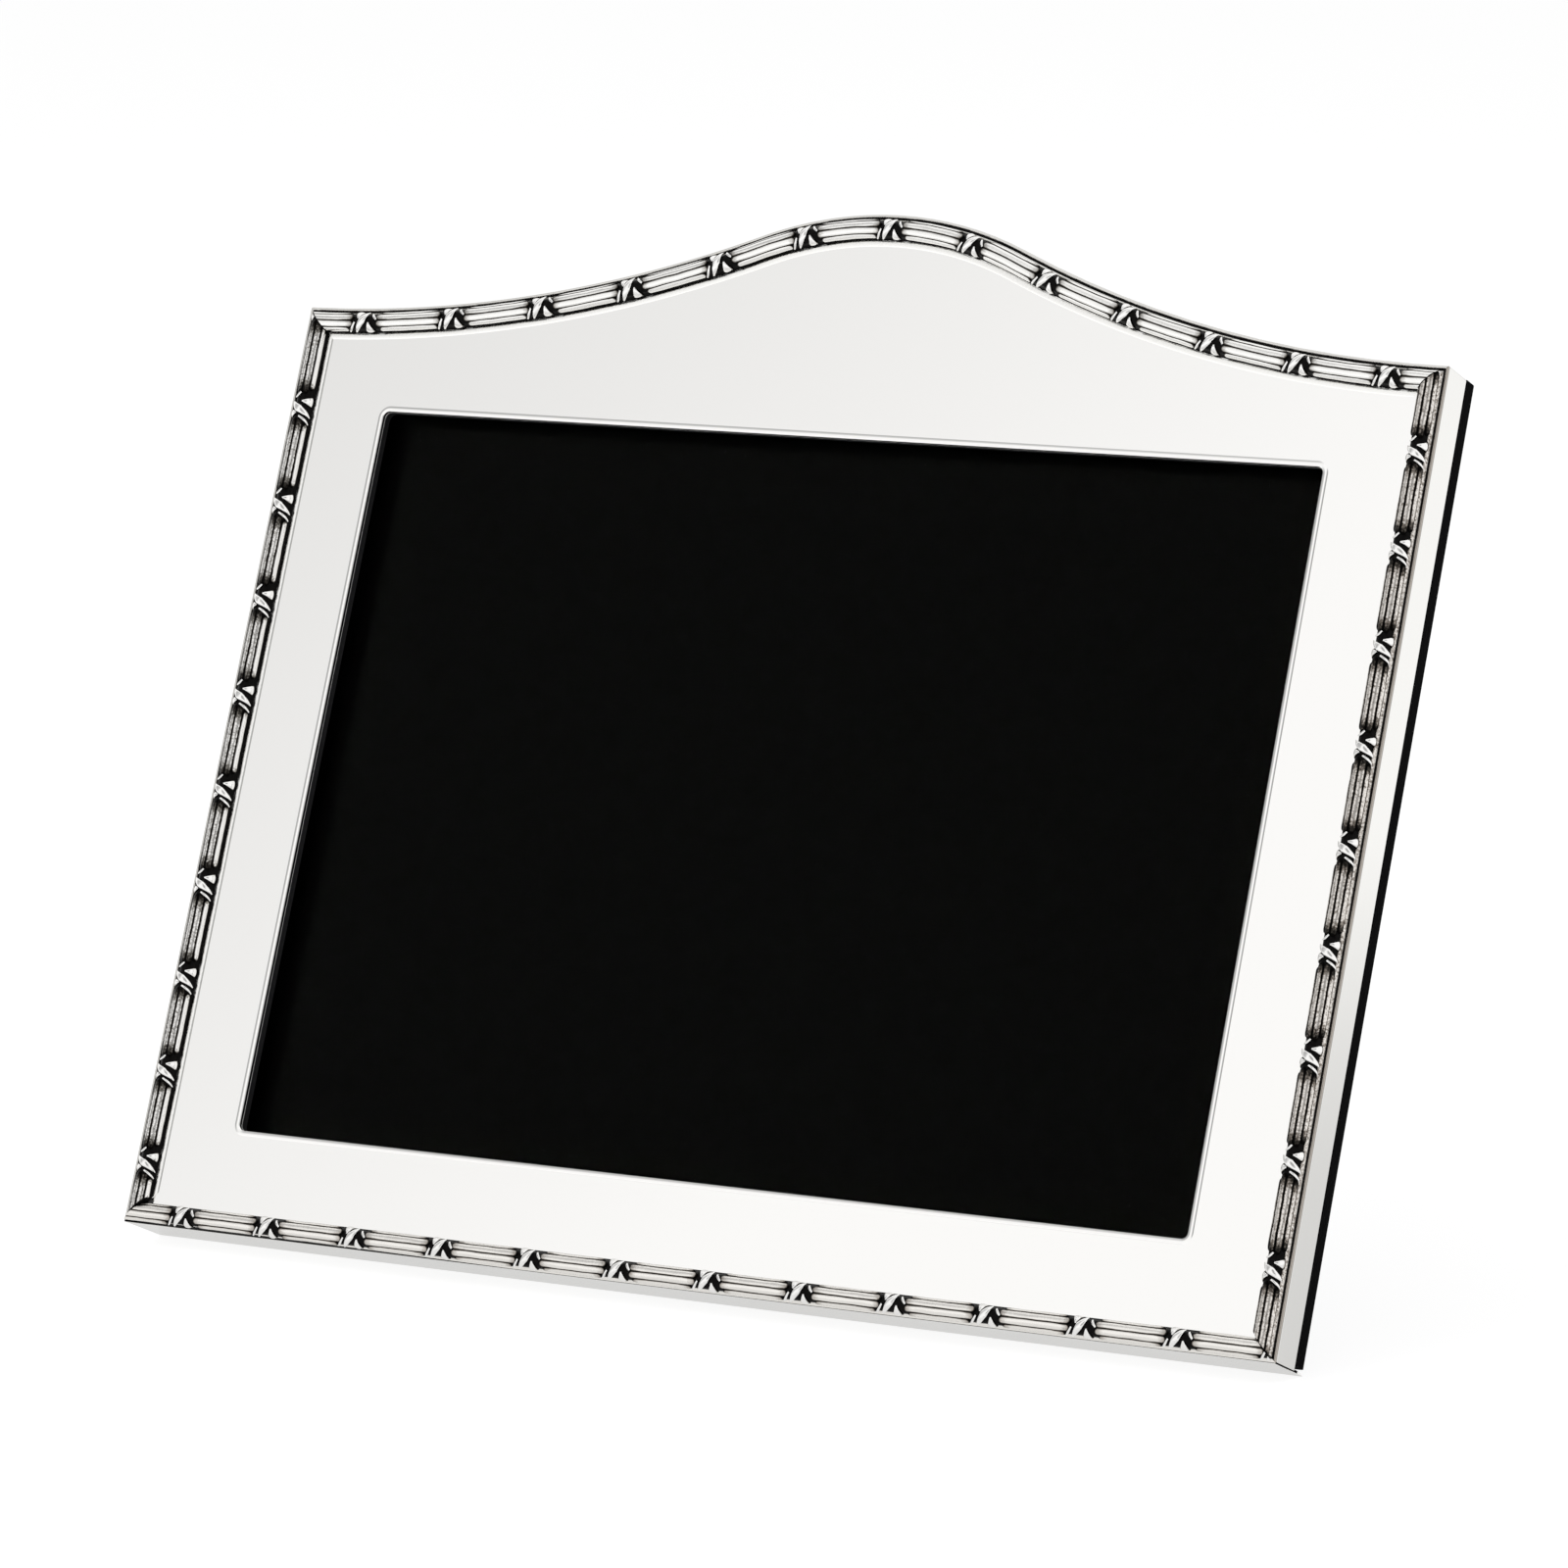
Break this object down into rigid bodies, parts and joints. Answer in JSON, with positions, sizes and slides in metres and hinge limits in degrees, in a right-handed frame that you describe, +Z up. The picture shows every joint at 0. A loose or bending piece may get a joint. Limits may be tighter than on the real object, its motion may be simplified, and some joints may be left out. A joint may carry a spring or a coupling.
{
  "type": "domed top table photo frame",
  "caption": "Free-standing landscape photo frame with a domed top edge, polished silver front, reeded border, velvet back with turn buttons and a hinged easel strut.",
  "frame": {"origin": "on the table, under the middle of the frame's box", "axes": "+X along the frame's width to the viewer's right, +Y from the silver front towards the strut, +Z up; the front leans back by 22.5 degrees"},
  "size_m": [0.2316, 0.1146, 0.1882],
  "materials": {
    "polished_silver": "polished",
    "cast_silver": "satin",
    "velvet_board": "matte",
    "clear_glass": "gloss",
    "black_paper": "matte",
    "grey_card": "matte",
    "brass": "satin",
    "steel": "satin"
  },
  "bodies": {
    "frame": {"front_panel": "polished_silver", "side_band_bottom": "polished_silver", "side_band_left": "polished_silver", "side_band_right": "polished_silver", "side_band_top": "polished_silver", "moulding_bottom": "cast_silver", "moulding_left": "cast_silver", "moulding_right": "cast_silver", "moulding_top": "cast_silver", "back_board": "velvet_board", "back_door": "velvet_board", "glass_pane": "clear_glass", "print_insert": "black_paper", "backing_card": "grey_card", "hinge_door_leaf": "brass", "hinge_pin": "steel", "door_leaf_screw_left": "steel", "door_leaf_screw_right": "steel", "turn_screw_upper_left": "steel", "turn_screw_upper_right": "steel", "turn_screw_lower_left": "steel", "turn_screw_lower_right": "steel"},
    "strut": {"strut_leg": "velvet_board", "hinge_strut_leaf": "brass", "strut_leaf_screw_left": "steel", "strut_leaf_screw_right": "steel"},
    "button_upper_left": {"turn_button_upper_left": "brass"},
    "button_upper_right": {"turn_button_upper_right": "brass"},
    "button_lower_left": {"turn_button_lower_left": "brass"},
    "button_lower_right": {"turn_button_lower_right": "brass"}
  },
  "joints": [
    {"name": "strut_hinge", "type": "hinge", "parent": "frame", "child": "strut", "pos_m": [0, 0.01091, 0.12863], "axis": [1, 0, 0], "range_deg": [-40, 0]},
    {"name": "button_turn_upper_left", "type": "hinge", "parent": "frame", "child": "button_upper_left", "pos_m": [-0.1065, 0.00389, 0.11639], "axis": [0, 0.9239, -0.3827], "continuous": true},
    {"name": "button_turn_upper_right", "type": "hinge", "parent": "frame", "child": "button_upper_right", "pos_m": [0.1065, 0.00389, 0.11639], "axis": [0, 0.9239, -0.3827], "continuous": true},
    {"name": "button_turn_lower_left", "type": "hinge", "parent": "frame", "child": "button_lower_left", "pos_m": [-0.1065, -0.0255, 0.04543], "axis": [0, 0.9239, -0.3827], "continuous": true},
    {"name": "button_turn_lower_right", "type": "hinge", "parent": "frame", "child": "button_lower_right", "pos_m": [0.1065, -0.0255, 0.04543], "axis": [0, 0.9239, -0.3827], "continuous": true}
  ]
}
